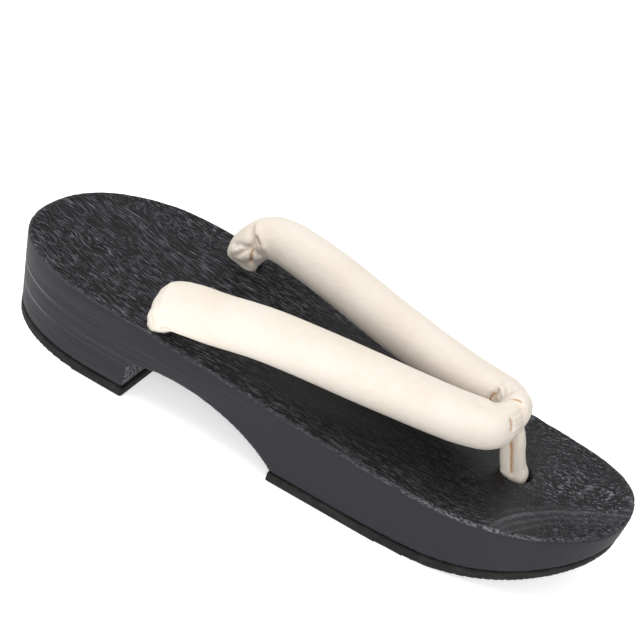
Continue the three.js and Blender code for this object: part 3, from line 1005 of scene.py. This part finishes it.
@dataclass
class ToeThong:
    """The toe thong: a band wrapped over the strap's fold, and a folded strip down through the base."""

    finish: PlainCotton = field(default_factory=lambda: PlainCotton("thong_cotton"))
    voxel: float = 0.7
    centre: tuple[float, float, float] = (73.6, 0, 46.0)
    half_sizes: tuple[float, float] = (5.9, 8.3)
    half_width: float = 4.6
    wall: float = 1.4
    pinch: float = 0.26
    strip_facing: tuple[float, float] = (0.9, 0.43)
    rolls: tuple[tuple[float, float], ...] = ((-3.0, 0.40), (1.5, 0.56))
    stem: tuple[Section, ...] = (
        Section(75.4, 0, 41, 4.6, 4.4),
        Section(77.4, 0, 37, 5.0, 4.9),
        Section(79.8, 0, 31, 5.2, 5.0),
        Section(82.2, 0, 26, 5.6, 5.5),
        Section(83.6, 0, 22.8, 6.4, 6.4),
        Section(83.8, 0, 14, 5.6, 5.6),
    )

    def build(self) -> bpy.types.Object:
        """Makes the thong.

        Returns:
            The finished piece, standing for the CAD node toe_thong.
        """
        tube = StuffedTube(self.stem)
        parts = [self.roll(offset, share) for offset, share in self.rolls] + [self.band()]
        form = bmesh.new()
        for part in parts:
            form.from_mesh(part.data)
            bpy.data.objects.remove(part)
        piece = object_from(form, "cotton_thong")
        remesh(piece, self.voxel)
        relax = piece.modifiers.new("Soft", "SMOOTH")
        relax.factor = 0.5
        relax.iterations = 3
        settle(piece)
        subdivide(piece, 1)
        points, normals = read_points(piece.data)
        crumple = 0.22 * grain_noise(points, (5, 4, 6), 17) + 0.08 * grain_noise(points, (2, 2, 4), 19)
        write_points(piece.data, points + normals * crumple[:, None])
        # The painted shade of the slit and the wrap's edges, for the material.
        write_values(piece.data, "crease", press_creases(piece.data, self.creases()))
        points, _ = read_points(piece.data)
        write_vectors(piece.data, "weave", tube.cloth_coordinates(points))
        keep(piece, self.finish.material(), "thong_fabric", "toe_thong")
        return piece

    def roll(self, offset: float, share: float) -> bpy.types.Object:
        """One of the strip's two folded rolls, side by side down the stem.

        Args:
            offset: how far it lies from the stem's middle, in millimetres, towards the toe and the left.
            share: its size as a share of the stem's.

        Returns:
            The roll as an object.
        """
        ahead, aside = self.strip_facing
        shifted = [
            replace(
                s, x=s.x + offset * ahead, y=s.y + offset * aside, wide=s.wide * share, tall=s.tall * share
            )
            for s in self.stem
        ]
        return StuffedTube(shifted, squareness=2.9).build("roll")

    def band(self) -> bpy.types.Object:
        """The wrap over the fold: an oval band, crowned across, open where the strap runs through."""
        form = bmesh.new()
        rows = [(-1.0, 0.15), (-0.72, 0.8), (0.0, 1.0), (0.72, 0.8), (1.0, 0.15), (1.0, -0.1), (-1.0, -0.1)]
        loops = []
        for across, stand in rows:
            reach = self.wall * (stand - 1)
            wide, tall = (size + reach for size in self.half_sizes)
            place = (
                Matrix.Translation(Vector((0, across * self.half_width, 0)) * MM)
                @ Matrix.Rotation(math.pi / 2, 4, "X")
                @ Matrix.Diagonal((wide * MM, tall * MM, 1, 1))
            )
            made = bmesh.ops.create_circle(form, segments=48, radius=1, matrix=place)
            ring = set(made["verts"])
            loops.append([e for e in {e for v in ring for e in v.link_edges} if set(e.verts) <= ring])
        for one, two in zip(loops, loops[1:] + loops[:1]):
            bmesh.ops.bridge_loops(form, edges=one + two)
        for corner in form.verts:
            height = corner.co.z / MM / self.half_sizes[1]
            corner.co.y *= 1 - self.pinch * (1 - height)
        bmesh.ops.translate(form, verts=form.verts, vec=Vector(self.centre) * MM)
        bmesh.ops.recalc_face_normals(form, faces=form.faces)
        return object_from(form, "band")

    def creases(self) -> list[Crease]:
        """The slit between the strip's two rolls, and the edges of the wrap, each darkened with painted tan
        shade.
        """
        slit = Crease(tuple(self.between_rolls(s) for s in self.stem[:5]), 0.6, 0.8, 1.0)
        near_edge = Crease(tuple(self.on_edge(-0.9, turn) for turn in (150, 110, 70)), 0.8, 0.7, 0.9)
        far_edge = Crease(tuple(self.on_edge(0.9, turn) for turn in (130, 90, 60)), 0.8, 0.6, 0.5)
        return [slit, near_edge, far_edge]

    def between_rolls(self, section: Section) -> tuple[float, float, float]:
        """The place on the stem's right side where its two rolls meet, at one section."""
        ahead, aside = self.strip_facing
        (first, first_share), (second, second_share) = self.rolls
        seam = (first + first_share * section.wide + second - second_share * section.wide) / 2
        out = section.wide * second_share
        return (section.x + seam * ahead + out * aside, section.y + seam * aside - out * ahead, section.z)

    def on_edge(self, across: float, turn: float) -> tuple[float, float, float]:
        """A place on the wrap, across it from -1 to 1, and in degrees from its toe side over the top."""
        ahead, above = math.cos(math.radians(turn)), math.sin(math.radians(turn))
        side = across * self.half_width * (1 - self.pinch * (1 - above))
        x, y, z = self.centre
        wide, tall = self.half_sizes
        return (x + wide * ahead, y + side, z + tall * above)


# ------------------------------------------------------------------------------------------ studio
@dataclass
class Studio:
    """A pale floor, soft light from above and both sides, and the camera."""

    look_from: tuple[float, float, float] = (77.4, -304.0, 232.2)
    look_at: tuple[float, float, float] = (-22.1, 68.1, 0.0)
    roll: float = 19.8
    lens: float = 55.96
    sensor: float = 36.0
    horizon: float = 0.55
    zenith: float = 0.80
    floor_glow: float = 0.5

    def build(self) -> None:
        """Sets the camera, the floor, the lamps and the surroundings."""
        self.place_camera()
        self.lay_floor()
        self.hang_lamp("key", (-240, -160, 700), 380, 1.9)
        self.hang_lamp("fill", (100, -600, 330), 420, 1.6)
        self.hang_lamp("back", (60, 520, 420), 380, 0.6)
        self.surround()
        bpy.context.scene.view_settings.view_transform = "Standard"

    def surround(self) -> None:
        """Pale surroundings, brighter overhead than at the horizon."""
        world = bpy.data.worlds.new("surroundings")
        world.use_nodes = True
        tree = world.node_tree
        direction = tree.nodes.new("ShaderNodeSeparateXYZ")
        tree.links.new(tree.nodes.new("ShaderNodeTexCoord").outputs["Generated"], direction.inputs[0])
        level = tree.nodes.new("ShaderNodeMapRange")
        level.inputs["To Min"].default_value = self.horizon
        level.inputs["To Max"].default_value = self.zenith
        tree.links.new(direction.outputs["Z"], level.inputs["Value"])
        tree.links.new(level.outputs["Result"], tree.nodes["Background"].inputs["Strength"])
        tree.nodes["Background"].inputs["Color"].default_value = (1, 1, 1, 1)
        bpy.context.scene.world = world

    def place_camera(self) -> None:
        """Stands the camera where the whole sandal fills the frame, rolled a little."""
        data = bpy.data.cameras.new("camera")
        data.lens, data.sensor_width = self.lens, self.sensor
        data.clip_start = 0.01
        camera = bpy.data.objects.new("camera", data)
        bpy.context.scene.collection.objects.link(camera)
        sight = Vector(self.look_at) - Vector(self.look_from)
        turn = sight.to_track_quat("-Z", "Y") @ Quaternion((0, 0, 1), math.radians(self.roll))
        camera.matrix_world = Matrix.Translation(Vector(self.look_from) * MM) @ turn.to_matrix().to_4x4()
        bpy.context.scene.camera = camera

    def lay_floor(self) -> None:
        """A wide pale floor just under the treads."""
        form = bmesh.new()
        bmesh.ops.create_grid(form, x_segments=1, y_segments=1, size=3.0)
        bmesh.ops.translate(form, verts=form.verts, vec=(0, 0, -0.05 * MM))
        floor = object_from(form, "floor")
        s = Shader("pale_floor")
        tone = s.noise(s.place((0.002, 0.002, 0.002)), detail=1)
        colour = s.blend(tone, (0.93, 0.93, 0.93, 1), (0.96, 0.96, 0.96, 1))
        s.surface.inputs["Emission Color"].default_value = (1, 1, 1, 1)
        normal = s.emboss(tone, 0.01)
        floor.data.materials.append(
            s.finish(colour, 0.9, normal, Specular_IOR_Level=0.0, Emission_Strength=self.floor_glow)
        )

    def hang_lamp(self, name: str, place: tuple[float, float, float], size: float, power: float) -> None:
        """Hangs a square soft lamp that looks at the sandal.

        Args:
            name: the lamp's name.
            place: where it hangs, in millimetres.
            size: its side, in millimetres.
            power: its power in watts.
        """
        data = bpy.data.lights.new(name, "AREA")
        data.energy, data.size = power, size * MM
        lamp = bpy.data.objects.new(name, data)
        bpy.context.scene.collection.objects.link(lamp)
        at = Vector(place) * MM
        lamp.matrix_world = Matrix.Translation(at) @ (-at).to_track_quat("-Z", "Y").to_matrix().to_4x4()


def main() -> None:
    """Builds the sandal piece by piece, and then the studio round it."""
    logging.basicConfig(level=logging.INFO, format="%(message)s")
    builders: tuple[Callable[[], object], ...] = (
        Studio().build, WoodenBase().build, Treads().build, PaddedStrap().build, ToeThong().build,
    )
    for build in builders:
        build()


if __name__ == "__main__":
    main()
